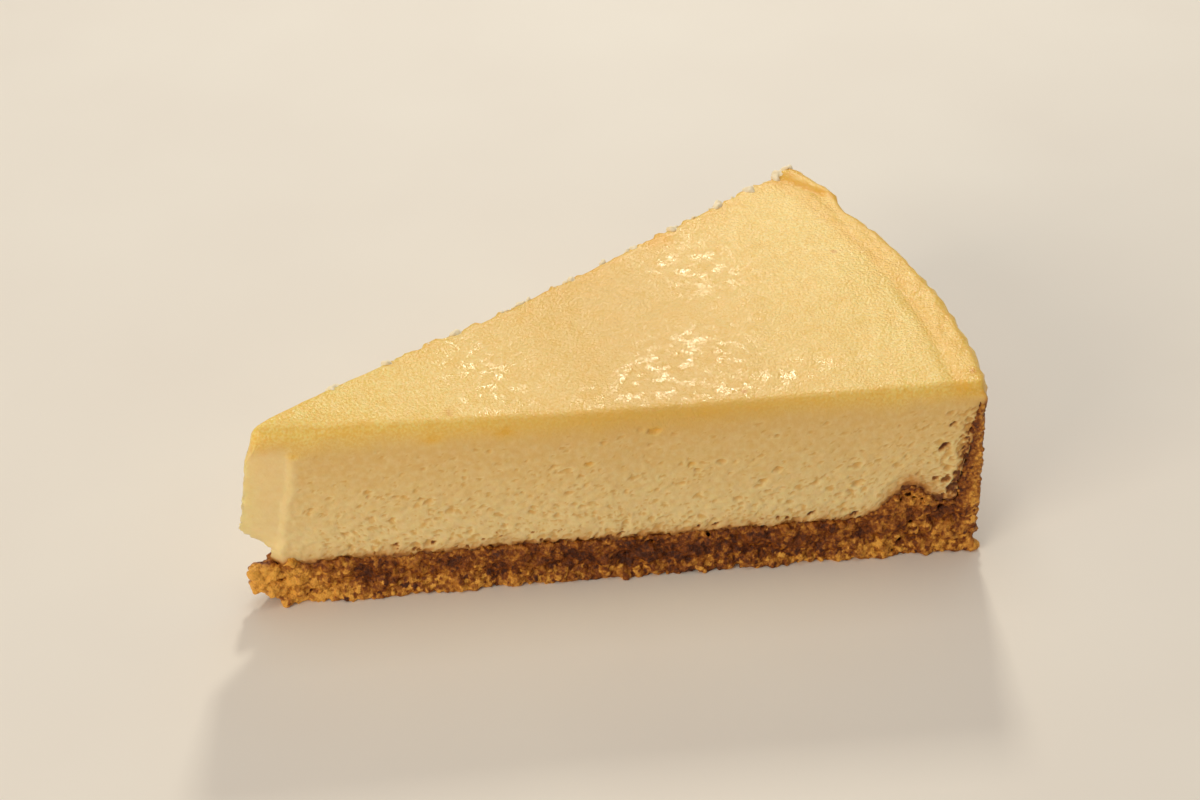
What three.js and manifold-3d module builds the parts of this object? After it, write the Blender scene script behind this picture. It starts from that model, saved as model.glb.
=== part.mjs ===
// A cut wedge of baked cheesecake: a pale set filling on a crumb crust that also climbs the rim.
// Millimetres, +Z up, +X from the wedge's point to its rim. Both pieces start as a three.js block
// whose grid lines are bent into a wedge; relief, crags and crumbs are worked out from the sizes here.
import * as THREE from "three";
import { mergeVertices } from "three/addons/utils/BufferGeometryUtils.js";
import Module from "manifold-3d";

const wasm = await Module();
wasm.setup();

// Driving dimensions of the whole slice.
const RADIUS = 120; // point to rim
const OPENING = THREE.MathUtils.degToRad(35); // angle between the two cuts
const HEIGHT = 34; // top of the filling above the table
const FIT_GAP = 0.3; // clearance between the filling and the crust
const SPARE = 1.5; // crust left standing before the filling's place is cut out of it
const MERGED = 0.03; // facets nearly in one plane are merged within this

// The crumb crust.
const BASE_THICKNESS = 7.2;
const WALL_TOP = 31.6; // how high the crust climbs the rim
const WALL_FOOT = 3.9; // thickness of that wall where it leaves the base
const WALL_EDGE = 1.1; // and at its upper edge
const CRUST_POINT = 1.6; // where the crust starts, from the wedge's point
const CRAG = 1.0; // how far the cut faces of the crust are torn in or out
const NOSE = { lift: 1.8, to: 5.2 }; // the point of the crust is broken away underneath, up to here
const MOUND = { r: 108.5, height: 6.6, reach: 5.5, depth: 8 }; // lump beside the front of the wall

// The filling.
const POINT_THICKNESS = 1.5; // least thickness of the filling's thin point
const CUT_ROUNDING = 1.5; // top edge along both cuts, drawn over by the knife
const RIM_ROUNDING = 2.4; // top edge at the rim
const BULGE = 0.7; // how far the middle of the rim stands beyond its two corners
const CROWN = 1.0; // how much higher the top stands near the point
const SAG = 0.7; // and how much it dips halfway
const GROOVE = { inset: 5.2, width: 2.6, depth: 0.7 }; // shallow ring inside the rim
const FLAP = { from: 9.5, to: 13, reach: 1.9, lift: 1.0 }; // rim skin peeled at the back corner, degrees and mm
const STEP_BACK = 0.8; // sheared face beside the point
const NOTCH_TOP = 15.2; // the point is torn away below this height
const NOTCH_FOOT = 10.4;
const NOTCH_DEPTH = 4.9;

// Draws and noise, the same on every run.
let seed = 20261;
function draw(low = 0, high = 1) {
  seed = (seed + 0x6d2b79f5) | 0;
  let t = Math.imul(seed ^ (seed >>> 15), 1 | seed);
  t = (t + Math.imul(t ^ (t >>> 7), 61 | t)) ^ t;
  return low + ((high - low) * ((t ^ (t >>> 14)) >>> 0)) / 4294967296;
}

function lattice(ix, iy, iz) {
  let h = Math.imul(ix, 374761393) ^ Math.imul(iy, 668265263) ^ Math.imul(iz, 2147483629);
  h = Math.imul(h ^ (h >>> 13), 1274126177);
  return ((h ^ (h >>> 16)) >>> 0) / 2147483648 - 1;
}

// Smooth noise from -1 to 1 that changes over the distance `size`.
function noise(x, y, z, size) {
  const cell = [x, y, z].map((v) => Math.floor(v / size));
  const [fx, fy, fz] = [x, y, z].map((v, n) => THREE.MathUtils.smoothstep(v / size - cell[n], 0, 1));
  const at = (a, b, c) => lattice(cell[0] + a, cell[1] + b, cell[2] + c);
  const { lerp } = THREE.MathUtils;
  const low = lerp(lerp(at(0, 0, 0), at(1, 0, 0), fx), lerp(at(0, 1, 0), at(1, 1, 0), fx), fy);
  const high = lerp(lerp(at(0, 0, 1), at(1, 0, 1), fx), lerp(at(0, 1, 1), at(1, 1, 1), fx), fy);
  return lerp(low, high, fz);
}

const rise = THREE.MathUtils.smoothstep;
const mix = THREE.MathUtils.lerp;
const bell = (x, width) => Math.exp(-((x / width) ** 2));

// Half the wedge's width, square to the bisector, at the distance r from its point.
const halfWidth = (r) => r * Math.sin(OPENING / 2);

// Radius of the rim at an angle from the bisector in degrees.
const rimRadius = (angle) => RADIUS + BULGE * (1 - (angle / THREE.MathUtils.radToDeg(OPENING / 2)) ** 2);

// How far a rounded edge has dropped at the distance d inside it.
const dropAt = (d, radius) => (d >= radius ? 0 : radius - Math.sqrt(radius ** 2 - (radius - d) ** 2));

// Height of the crust's base under the filling.
function baseTop(r, y) {
  const front = THREE.MathUtils.clamp((y + halfWidth(r)) / MOUND.depth, 0, 1);
  const mound = MOUND.height * bell(r - MOUND.r, MOUND.reach) * (1 - rise(front, 0, 1));
  const foot = 2.2 * rise(r, RADIUS - 14, RADIUS - WALL_FOOT);
  return BASE_THICKNESS + mound + foot + 0.55 * noise(r, y, 3, 7);
}

// Thickness of the crust's wall at the height z.
const wallThickness = (z, y) =>
  mix(WALL_FOOT, WALL_EDGE, rise(z, BASE_THICKNESS, WALL_TOP)) + 0.35 * noise(y, z, 11, 5);

// Height of the filling's top: crown, sag, the ring groove and the peeled skin.
function fillingTop(r, y, angle) {
  const crown = CROWN * bell(r - 10, 26) - SAG * bell(r - 66, 30);
  const groove = GROOVE.depth * bell(r - (RADIUS - GROOVE.inset), GROOVE.width / 1.7);
  const peeled = rise(angle, FLAP.from, FLAP.to) * rise(r, RADIUS - 3.2, RADIUS - 0.5);
  return HEIGHT + crown - groove + FLAP.lift * peeled + 0.22 * noise(r, y, 7, 13);
}

// Where the filling starts, from the wedge's point, at the height z.
function pointAt(z) {
  const lean = 1.1 * rise(z, 18, 30) + 1.8 * rise(z, 28, HEIGHT);
  const torn = NOTCH_DEPTH * THREE.MathUtils.clamp((NOTCH_TOP - z) / (NOTCH_TOP - NOTCH_FOOT), 0, 1);
  return 0.1 + lean + torn;
}

// Where the filling ends at the rim, at the height z and the angle from the bisector in degrees.
function rimAt(z, y, angle) {
  const rim = rimRadius(angle);
  const inside = rim - wallThickness(z, y) - FIT_GAP;
  const peeled = FLAP.reach * rise(angle, FLAP.from, FLAP.to) * rise(z, WALL_TOP - 2, HEIGHT - 1);
  return mix(inside, rim, rise(z, WALL_TOP - 4, WALL_TOP)) + peeled;
}

// Grid stations along a length: fine near each end, even between.
function stations(length, near, far, step) {
  const first = near[near.length - 1];
  const last = length - far[far.length - 1];
  const count = Math.round((last - first) / step);
  const between = Array.from({ length: count - 1 }, (_, n) => mix(first, last, (n + 1) / count));
  return [...near, ...between, ...far.map((d) => length - d).reverse()];
}

// A block with the given grid lines, each vertex moved to place(i, j, k).
function bent(nu, nv, nw, place) {
  const block = new THREE.BoxGeometry(1, 1, 1, nu, nv, nw);
  const position = block.getAttribute("position");
  for (let n = 0; n < position.count; n++) {
    const i = Math.round((position.getX(n) + 0.5) * nu);
    const j = Math.round((position.getY(n) + 0.5) * nv);
    const k = Math.round((position.getZ(n) + 0.5) * nw);
    position.setXYZ(n, ...place(i, j, k));
  }
  return block;
}

// The offset of grid line j across the wedge: the outer lines keep their inset from the cuts.
function across(j, count, half, insets) {
  const side = j * 2 <= count ? -1 : 1;
  const line = Math.min(j, count - j);
  const last = insets.length - 1;
  const inset = (n) => Math.min(insets[n], half * 0.8 * (n / last));
  if (line <= last) return side * (half - inset(line));
  return side * (half - inset(last)) * (1 - (line - last) / (count / 2 - last));
}

const FILLING_RADIAL = stations(
  RADIUS,
  [0, 1.3, 2.6, 4, 5.4, 6.8, 8.4],
  [0, 0.8, 2.2, 3.8, 5.2, 6.8],
  3.5,
);
const CUT_INSETS = [0, 0.5, 1.5];
const FILLING_ACROSS = 10;
const FILLING_HEIGHTS = [0, 0.06, 0.13, 0.2, 0.27, 0.34, 0.5, 0.66, 0.8, 0.91, 1];

// The filling's solid, or with `grown` and `wider` the tool that cuts its place out of the crust:
// grown where the two meet, and one grid line wider beyond each cut.
function filling(grown = 0, wider = 0) {
  const nu = FILLING_RADIAL.length - 1;
  const nw = FILLING_HEIGHTS.length - 1;
  const spareLine = wider > 0 ? 1 : 0;
  return bent(nu, FILLING_ACROSS + 2 * spareLine, nw, (i, line, k) => {
    const j = THREE.MathUtils.clamp(line - spareLine, 0, FILLING_ACROSS);
    const level = FILLING_HEIGHTS[k];
    const plain = mix(BASE_THICKNESS, HEIGHT - RIM_ROUNDING * 0.4, level);
    const share = FILLING_RADIAL[i] / RADIUS;
    const turn = Math.asin(across(j, FILLING_ACROSS, halfWidth(RADIUS), CUT_INSETS) / RADIUS);
    const angle = THREE.MathUtils.radToDeg(turn);
    const end = i === 0 ? -grown : i === nu ? grown : 0;
    const r = mix(pointAt(plain), rimAt(plain, turn * RADIUS, angle), share) + end;
    const half = Math.max(halfWidth(r), POINT_THICKNESS / 2);
    let y = across(j, FILLING_ACROSS, half, CUT_INSETS);
    const x = Math.sqrt(Math.max(r ** 2 - y ** 2, 0)) || r;
    const crease = mix(4.8, 8.2, rise(plain, 10, 30));
    const sheared = (1 - rise(r, crease - 0.7, crease + 0.7)) * (1 - rise(plain, 29, 32));
    if (y < 0) y += Math.min(STEP_BACK, half) * sheared * (-y / half);
    const open = 0.25 * (1 - level) * noise(x * 1.3, j, plain * 2, 3.1);
    if (j === 0 || j === FILLING_ACROSS) y *= 1 - Math.abs(open) / Math.max(half, 3);
    const fromCut = half - Math.abs(across(j, FILLING_ACROSS, half, CUT_INSETS));
    const edges =
      dropAt(fromCut, CUT_ROUNDING) +
      dropAt(RADIUS - FILLING_RADIAL[i], RIM_ROUNDING) +
      dropAt(FILLING_RADIAL[i], CUT_ROUNDING);
    const top = fillingTop(r, y, angle) - edges;
    const bottom = baseTop(r, y) + FIT_GAP - grown;
    const beyond = wider * Math.sign(line - spareLine - j);
    return [x, y + beyond, mix(bottom, top, level)];
  });
}

const BASE_RADIAL = stations(RADIUS, [0, 1.6, 3.4, 5.4], [0, 1.5, 3.4], 2.1);
const BASE_ACROSS = 6;
const BASE_INSETS = [0, 2];
const BASE_LAYERS = 4;

// The flat base of the crust, its two cuts and its point torn into crags. It rests on its flat middle.
function base() {
  const nu = BASE_RADIAL.length - 1;
  return bent(nu, BASE_ACROSS, BASE_LAYERS, (i, j, k) => {
    const turn = Math.asin(across(j, BASE_ACROSS, halfWidth(RADIUS), BASE_INSETS) / RADIUS);
    const rim = rimRadius(THREE.MathUtils.radToDeg(turn));
    const r = mix(CRUST_POINT, rim - 1.5, BASE_RADIAL[i] / RADIUS);
    const half = Math.max(halfWidth(r), 1.6);
    let y = across(j, BASE_ACROSS, half, BASE_INSETS);
    let x = Math.sqrt(Math.max(r ** 2 - y ** 2, 0)) || r;
    const atCut = j === 0 || j === BASE_ACROSS;
    const atEnd = i === 0 || i === nu;
    const spare = SPARE * rise(r, NOTCH_DEPTH, NOTCH_DEPTH + 2.5);
    const z = mix(0, baseTop(r, y) + spare, k / BASE_LAYERS);
    const tear = CRAG * (0.7 * noise(x * 1.7, y, z * 2.3, 3.4) + 0.6 * noise(y, x * 3, z * 3, 2.9));
    if (atCut) y += Math.sign(y) * tear;
    if (i === 0) x += tear;
    const chipped = k === 0 && (atCut || atEnd) ? 0.35 + 0.25 * noise(x, y, 29, 4) : 0;
    const broken = NOSE.lift * (1 - rise(r, NOSE.to - 1, NOSE.to)) * (1 - k / BASE_LAYERS);
    return [x, y, z + chipped + broken];
  });
}

const WALL_ACROSS = 22;
const WALL_LAYERS = 9;

// The part of the crust that climbs the rim, thinner towards its ragged upper edge.
function wall() {
  return bent(1, WALL_ACROSS, WALL_LAYERS, (i, j, k) => {
    const angle = (j / WALL_ACROSS - 0.5) * OPENING;
    const y = angle * RADIUS;
    const ragged = WALL_TOP + 0.9 * noise(y, 0, 41, 4);
    const z = mix(i ? 0.4 : 0, ragged, k / WALL_LAYERS);
    const pressed = 0.5 * noise(y, z, 53, 4.5) - 0.3;
    const rim = rimRadius(THREE.MathUtils.radToDeg(angle));
    const r = rim + (i ? pressed : -wallThickness(z, y) - SPARE);
    return [r * Math.cos(angle), r * Math.sin(angle), z];
  });
}

// One crumb: a few-sided lump, squashed and turned by the draws.
function crumb(x, y, z, size) {
  const lump = new THREE.IcosahedronGeometry(size, 0);
  lump.scale(draw(0.8, 1.25), draw(0.7, 1.1), draw(0.65, 1));
  lump.rotateZ(draw(0, Math.PI)).rotateX(draw(0, Math.PI));
  return lump.translate(x, y, Math.max(z, size * 1.15));
}

const CUT_CRUMBS = 32; // on each cut of the base
const WALL_CRUMBS = 6; // on each cut of the wall
const OUTER_CRUMBS = 22; // on the outside of the rim
const POINT_CRUMBS = 14;
const TORN_CRUMBS = 13; // bits of filling dragged over the top edge of the back cut

// Every crumb that stands proud of the crust.
function crumbs() {
  const found = [];
  for (const side of [-1, 1]) {
    const turned = (r, out, z, size) => {
      const a = (side * OPENING) / 2;
      found.push(crumb(r * Math.cos(a) - out * side * Math.sin(a), r * Math.sin(a) + out * side * Math.cos(a), z, size));
    };
    for (let n = 0; n < CUT_CRUMBS; n++) {
      const r = mix(6, RADIUS - 3, (n + draw(0.1, 0.9)) / CUT_CRUMBS);
      turned(r, draw(-0.6, 0.3), draw(1.6, BASE_THICKNESS - 0.9), draw(1.1, 1.9));
    }
    for (let n = 0; n < WALL_CRUMBS; n++) {
      const z = mix(BASE_THICKNESS + 1, WALL_TOP - 1, (n + draw(0.1, 0.9)) / WALL_CRUMBS);
      turned(RADIUS - wallThickness(z, 0) * draw(0.2, 0.7), draw(-0.4, 0.1), z, draw(0.7, 1.2));
    }
  }
  for (let n = 0; n < OUTER_CRUMBS; n++) {
    const a = OPENING * ((n + draw(0.1, 0.9)) / OUTER_CRUMBS - 0.5);
    const r = rimRadius(THREE.MathUtils.radToDeg(a)) - draw(0.7, 1.2);
    found.push(crumb(r * Math.cos(a), r * Math.sin(a), draw(1.5, WALL_TOP - 1), draw(0.9, 1.5)));
  }
  for (let n = 0; n < POINT_CRUMBS; n++) {
    const r = draw(1.4, 6.5);
    found.push(crumb(r, draw(-0.5, 0.5) * (1.6 + r * 0.5), draw(3, BASE_THICKNESS + 0.4), draw(0.9, 1.6)));
  }
  return found;
}

// The bits of filling the knife dragged over the top edge of the back cut.
function tornBits() {
  const a = OPENING / 2;
  return Array.from({ length: TORN_CRUMBS }, (_, n) => {
    const r = mix(16, RADIUS - 7, (n + draw(0.1, 0.9)) / TORN_CRUMBS);
    const out = draw(-0.3, 0.3);
    const z = fillingTop(r, halfWidth(r), 17.5) - draw(0.7, 1.5);
    return crumb(r * Math.cos(a) - out * Math.sin(a), r * Math.sin(a) + out * Math.cos(a), z, draw(0.8, 1.3));
  });
}

// A closed three.js geometry as a solid, and back.
function solid(geometry) {
  const plain = geometry.index ? geometry.toNonIndexed() : geometry.clone();
  plain.deleteAttribute("normal");
  plain.deleteAttribute("uv");
  const merged = mergeVertices(plain, 1e-4);
  return new wasm.Manifold(
    new wasm.Mesh({
      numProp: 3,
      vertProperties: merged.getAttribute("position").array,
      triVerts: new Uint32Array(merged.index.array),
    }),
  );
}

function geometryOf(body) {
  const mesh = body.getMesh();
  const geometry = new THREE.BufferGeometry();
  geometry.setAttribute("position", new THREE.BufferAttribute(mesh.vertProperties.slice(), 3));
  geometry.setIndex(new THREE.BufferAttribute(mesh.triVerts.slice(), 1));
  geometry.computeVertexNormals();
  return geometry;
}

// The whole crust: base, wall and crumbs in one piece, with the filling's place cut out of it.
function crust() {
  let body = solid(base()).add(solid(wall()));
  for (const lump of crumbs()) body = body.add(solid(lump));
  body = body.subtract(solid(filling(FIT_GAP, 2 * CRAG + 1)));
  return body.decompose().reduce((a, b) => (b.volume() > a.volume() ? b : a)).simplify(MERGED);
}

const fillingMaterial = new THREE.MeshStandardMaterial({ color: 0xeed08a, roughness: 0.5, metalness: 0 });
const crustMaterial = new THREE.MeshStandardMaterial({ color: 0x9a5c22, roughness: 0.85, metalness: 0 });

const set = tornBits().reduce((body, lump) => body.add(solid(lump)), solid(filling()));
const fillingMesh = new THREE.Mesh(geometryOf(set.simplify(MERGED)), fillingMaterial);
fillingMesh.name = "filling";
const crustMesh = new THREE.Mesh(geometryOf(crust()), crustMaterial);
crustMesh.name = "crust";

// The slice stands on the middle of its own box.
const slice = new THREE.Group();
slice.add(fillingMesh, crustMesh);
const box = new THREE.Box3().setFromObject(slice);
const centre = box.getCenter(new THREE.Vector3());
slice.position.set(-centre.x, -centre.y, -box.min.z);

const cheesecake = new THREE.Group();
cheesecake.add(slice);

export default cheesecake;
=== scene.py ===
"""A cut wedge of baked cheesecake: a pale set filling on a crumb crust that also climbs the rim.

The shapes are worked out in millimetres from the wedge's point, +X along its bisector, +Z up,
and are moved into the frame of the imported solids, in metres, when a piece is finished.
"""

import logging
import math
from collections.abc import Callable
from dataclasses import dataclass, field
from enum import Enum

import bmesh
import bpy
import numpy as np
from mathutils import Euler, Matrix, Vector
from mathutils.kdtree import KDTree


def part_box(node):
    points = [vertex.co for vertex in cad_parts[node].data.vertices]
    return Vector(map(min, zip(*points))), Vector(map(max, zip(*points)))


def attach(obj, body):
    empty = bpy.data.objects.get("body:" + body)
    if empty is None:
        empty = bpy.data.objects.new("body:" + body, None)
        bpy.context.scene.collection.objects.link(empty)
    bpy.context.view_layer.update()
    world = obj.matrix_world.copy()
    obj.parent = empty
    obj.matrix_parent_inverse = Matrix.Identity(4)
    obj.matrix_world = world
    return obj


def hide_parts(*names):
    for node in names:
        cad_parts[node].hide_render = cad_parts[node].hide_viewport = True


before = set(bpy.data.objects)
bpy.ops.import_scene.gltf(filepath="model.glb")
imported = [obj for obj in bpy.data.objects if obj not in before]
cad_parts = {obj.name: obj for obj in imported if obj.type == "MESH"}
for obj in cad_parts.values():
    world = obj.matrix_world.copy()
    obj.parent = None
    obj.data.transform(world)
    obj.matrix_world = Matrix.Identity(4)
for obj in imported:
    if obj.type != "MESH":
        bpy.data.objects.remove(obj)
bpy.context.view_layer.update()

MM = 0.001
LOG = logging.getLogger("cheesecake")
HASH_FACTORS = (374761393, 668265263, 2147483629, 97531)
HASH_ROUNDS = ((13, 1274126177), (16, 2246822519))
HASH_WORD = 0xFFFFFFFF
HASH_HALF = 2147483648.0

Array = np.ndarray
Crumbs = tuple[Array, Array, Array]
Mesh = bpy.types.Mesh
Socket = bpy.types.NodeSocket


class Side(Enum):
    """The two cuts of the wedge, by the sign of Y."""

    FRONT = -1
    BACK = 1


def rise(value: Array, low: float, high: float) -> Array:
    """A smooth step from 0 at low to 1 at high."""
    t = np.clip((np.asarray(value, float) - low) / (high - low), 0.0, 1.0)
    return t * t * (3.0 - 2.0 * t)


def bell(value: Array, width: float) -> Array:
    """A bump of height 1 round 0."""
    return np.exp(-((np.asarray(value, float) / width) ** 2))


def mix(low: Array, high: Array, share: Array) -> Array:
    """A straight blend from low to high."""
    return low + (high - low) * share


def stacked(x: Array, y: Array, z: Array | float = 0.0) -> Array:
    """Places from three coordinates, one row each."""
    return np.stack(np.broadcast_arrays(x, y, z), axis=-1).astype(float)


def lattice(cells: Array, seed: int) -> Array:
    """Repeatable random values from -1 to 1 for whole-numbered cells.

    Args:
        cells: Cell numbers, the last axis holding x, y and z.
        seed: Picks another set of values.

    Returns:
        One value for each cell.
    """
    x, y, z = np.moveaxis(cells.astype(np.int64), -1, 0)
    by_x, by_y, by_z, by_seed = HASH_FACTORS
    h = (x * by_x + y * by_y + z * by_z + seed * by_seed) & HASH_WORD
    for shift, factor in HASH_ROUNDS:
        h = ((h ^ (h >> shift)) * factor) & HASH_WORD
    return (h ^ (h >> 15)) / HASH_HALF - 1.0


def noise(points: Array, size: float, seed: int) -> Array:
    """Smooth noise from -1 to 1 that changes over the distance size.

    Args:
        points: Places, one row each.
        size: Distance between two independent values, in the unit of the places.
        seed: Picks another noise.

    Returns:
        One value for each place.
    """
    scaled = np.asarray(points, float) / size
    cell = np.floor(scaled)
    f = scaled - cell
    f = f * f * (3.0 - 2.0 * f)
    total = np.zeros(len(scaled))
    for corner in np.ndindex(2, 2, 2):
        weight = np.prod(np.where(np.array(corner), f, 1.0 - f), axis=1)
        total += weight * lattice(cell + corner, seed)
    return total


def grains(points: Array, size: float, seed: int) -> tuple[Array, Array]:
    """Packed grains: how far each place is from the nearest grain's middle, and that grain's value.

    Args:
        points: Places, one row each.
        size: Mean distance between two grains.
        seed: Picks another packing.

    Returns:
        The distance in units of size, and a value from -1 to 1 that is one grain's alone.
    """
    scaled = np.asarray(points, float) / size
    cell = np.floor(scaled)
    nearest = np.full(len(scaled), 9.0)
    value = np.zeros(len(scaled))
    for offset in np.ndindex(3, 3, 3):
        there = cell + np.array(offset) - 1
        jitter = np.stack([lattice(there, seed + n) for n in range(3)], axis=1)
        middle = there + 0.5 + 0.42 * jitter
        distance = np.linalg.norm(scaled - middle, axis=1)
        closer = distance < nearest
        nearest = np.where(closer, distance, nearest)
        value = np.where(closer, lattice(there, seed + 3), value)
    return nearest, value


@dataclass(frozen=True)
class Wedge:
    """Sizes and outlines of the slice, in millimetres from its point.

    They follow the solids, apart from the top's front edge near the point and the lump beside the
    wall, which lie a little lower. Angles from the bisector are in degrees, positive towards the
    back cut.
    """

    radius: float = 120.0
    opening: float = math.radians(35.0)
    height: float = 34.0
    bulge: float = 0.7
    base_thickness: float = 7.2
    wall_top: float = 31.6
    wall_foot: float = 3.9
    wall_edge: float = 1.1
    mound_at: float = 108.5
    mound_height: float = 5.8
    mound_reach: float = 4.9
    mound_depth: float = 8.0
    mound_steepness: float = 0.75
    fillet_height: float = 2.6
    fillet_reach: float = 12.0
    base_waves: float = 0.3
    wall_waves: float = 0.35
    point_thickness: float = 1.5
    point_overhang: float = 1.2
    point_leans: tuple[tuple[float, float, float], ...] = (
        (1.8, 13.0, 27.0),
        (0.7, 25.0, 32.0),
        (1.2, 29.0, 34.0),
    )
    cut_rounding: float = 1.6
    torn_rounding: float = 0.6
    rim_rounding: float = 1.4
    fit_gap: float = 0.15
    skin_inset: float = 0.3
    crown: float = 1.0
    crown_at: float = 10.0
    crown_reach: float = 26.0
    crown_at_front_cut: float = 0.2
    sag: float = 0.7
    sag_at: float = 66.0
    sag_reach: float = 30.0
    groove_inset: float = 5.2
    groove_width: float = 1.3
    groove_depth: float = 0.24
    flap_from: float = 9.5
    flap_to: float = 13.0
    flap_reach: float = 1.7
    flap_lift: float = 0.42
    crease_radius: float = 117.4
    crease_angle: float = 16.4
    crease_slope: float = 0.66
    crease_depth: float = 0.3
    notch_top: float = 15.9
    notch_foot: float = 10.4
    notch_depth: float = 4.9

    def half_width(self, r: Array) -> Array:
        """Half the wedge's width at the distance r from its point."""
        return r * math.sin(self.opening / 2)

    def rim_radius(self, angle: Array) -> Array:
        """Radius of the rim at an angle from the bisector, in degrees."""
        return self.radius + self.bulge * (1.0 - (angle / math.degrees(self.opening / 2)) ** 2)

    def base_top(self, r: Array, y: Array) -> Array:
        """Height of the crust under the filling.

        Args:
            r: Distance from the point.
            y: Distance from the bisector, positive towards the back.

        Returns:
            The height of each place.
        """
        front = np.clip((y + self.half_width(r)) / self.mound_depth, 0.0, 1.0)
        beyond = r - self.mound_at
        reach = np.where(beyond < 0, self.mound_reach, self.mound_steepness * self.mound_reach)
        mound = self.mound_height * bell(beyond, reach) * (1.0 - rise(front, 0, 1))
        inner, outer = self.radius - self.fillet_reach, self.radius - self.wall_foot
        fillet = self.fillet_height * rise(r, inner, outer)
        waves = self.base_waves * noise(stacked(r, y), 7.0, 3)
        return self.base_thickness + mound + fillet + waves

    def wall_thickness(self, z: Array, y: Array) -> Array:
        """Thickness of the crust's wall at a height.

        Args:
            z: Height.
            y: Distance along the rim from the bisector.

        Returns:
            The thickness at each place.
        """
        rough = self.wall_waves * noise(stacked(y, z), 5.0, 5)
        share = rise(z, self.base_thickness, self.wall_top)
        return mix(self.wall_foot, self.wall_edge, share) + rough

    def crease(self, angle: Array) -> Array:
        """Radius of the fold under the peeled skin at the back corner."""
        return self.crease_radius + self.crease_slope * (self.crease_angle - angle)

    def filling_top(self, r: Array, y: Array, angle: Array) -> Array:
        """Height of the filling's top: crown, sag, ring groove, peeled skin and its fold.

        Args:
            r: Distance from the point.
            y: Distance from the bisector.
            angle: Angle from the bisector.

        Returns:
            The height of each place.
        """
        across = rise(y / np.maximum(self.half_width(r), 0.8), -1.0, 0.4)
        tilt = self.crown_at_front_cut + (1 - self.crown_at_front_cut) * across
        crown = self.crown * bell(r - self.crown_at, self.crown_reach) * tilt * rise(r, -4, 8)
        crown = crown - self.sag * bell(r - self.sag_at, self.sag_reach)
        flat = stacked(r, y)
        ring = r - (self.radius - self.groove_inset) - 0.35 * noise(flat, 8.0, 17)
        fading = 1.0 - 0.85 * rise(angle, -8, 4)
        groove = self.groove_depth * bell(ring, self.groove_width) * fading
        peeled = rise(angle, self.flap_from, self.flap_to)
        beyond = r - self.crease(angle)
        lip = self.flap_lift * peeled * rise(beyond, -0.3, 1.4)
        fold = self.crease_depth * peeled * bell(beyond + 0.4, 0.5)
        waves = 0.2 * noise(flat, 13.0, 7) + 0.07 * noise(flat, 2.2, 8)
        grainy = 0.2 * rise(r, self.radius - 5.5, self.radius - 2.5) * noise(flat, 1.3, 9)
        return self.height + crown - groove + lip - fold + waves + grainy

    def point_at(self, z: Array) -> Array:
        """Where the filling starts: it leans back above and is torn away below.

        Args:
            z: Height.

        Returns:
            The distance from the wedge's point at each height.
        """
        lean = sum(back * rise(z, low, high) for back, low, high in self.point_leans)
        torn = np.clip((self.notch_top - z) / (self.notch_top - self.notch_foot), 0.0, 1.0)
        return -self.point_overhang + lean + self.notch_depth * torn

    def rim_at(self, z: Array, y: Array, angle: Array) -> Array:
        """Where the filling ends at the rim.

        Args:
            z: Height.
            y: Distance along the rim from the bisector.
            angle: Angle from the bisector.

        Returns:
            The distance from the wedge's point at each place.
        """
        rim = self.rim_radius(angle)
        inside = rim - self.wall_thickness(z, y) - self.fit_gap
        peeled = self.flap_reach * rise(angle, self.flap_from, self.flap_to)
        peeled = peeled * rise(z, self.wall_top - 2, self.height - 1)
        over_wall = rise(z, self.wall_top - 4, self.wall_top)
        return mix(inside, rim - self.skin_inset, over_wall) + peeled

    def on_cut(self, side: Side, along: Array, up: Array, inward: Array) -> Array:
        """Places beside a cut.

        Args:
            side: Which cut.
            along: Distance from the wedge's point along the cut.
            up: Height.
            inward: Distance behind the cut's plane, into the slice.

        Returns:
            One row of x, y and z for each place.
        """
        a = side.value * self.opening / 2
        x = along * math.cos(a) + side.value * inward * math.sin(a)
        y = along * math.sin(a) - side.value * inward * math.cos(a)
        return stacked(x, y, up)


def drop_at(inside: Array, radius: float) -> Array:
    """How far a rounded edge has dropped at a distance inside it."""
    left = np.clip(radius - np.asarray(inside, float), 0.0, radius)
    return radius - np.sqrt(radius**2 - left**2)


def swept_block(columns: int, rows: int, steps: int) -> bmesh.types.BMesh:
    """A closed block of grid cells in whole-numbered coordinates: a standing grid swept sideways.

    Args:
        columns: Cells along X.
        rows: Cells along Z.
        steps: Cells along Y.

    Returns:
        The block, its low corner at the origin.
    """
    bm = bmesh.new()
    bmesh.ops.create_grid(bm, x_segments=columns, y_segments=rows, size=0.5)
    upright = Matrix.Rotation(math.pi / 2, 3, "X")
    bmesh.ops.rotate(bm, verts=bm.verts, cent=(0, 0, 0), matrix=upright)
    bmesh.ops.translate(bm, verts=bm.verts, vec=(0.5, 0, 0.5))
    bmesh.ops.scale(bm, verts=bm.verts, vec=(columns, 1, rows))
    whole = bm.verts[:] + bm.edges[:] + bm.faces[:]
    bmesh.ops.spin(
        bm, geom=whole, cent=(0, 0, 0), axis=(0, 0, 1), dvec=(0, 1, 0), angle=0, steps=steps
    )
    bmesh.ops.recalc_face_normals(bm, faces=bm.faces)
    return bm


def refine(bm: bmesh.types.BMesh, faces: list[bmesh.types.BMFace], cuts: int) -> None:
    """Splits each of these square faces into a finer grid."""
    edges = list(dict.fromkeys(edge for face in faces for edge in face.edges))
    bmesh.ops.subdivide_edges(bm, edges=edges, cuts=cuts, use_grid_fill=True)


def coordinates(mesh: Mesh) -> Array:
    """A mesh's vertices.

    Args:
        mesh: The mesh.

    Returns:
        One row of x, y and z for each vertex.
    """
    flat = np.empty(len(mesh.vertices) * 3)
    mesh.vertices.foreach_get("co", flat)
    return flat.reshape(-1, 3)


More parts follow.
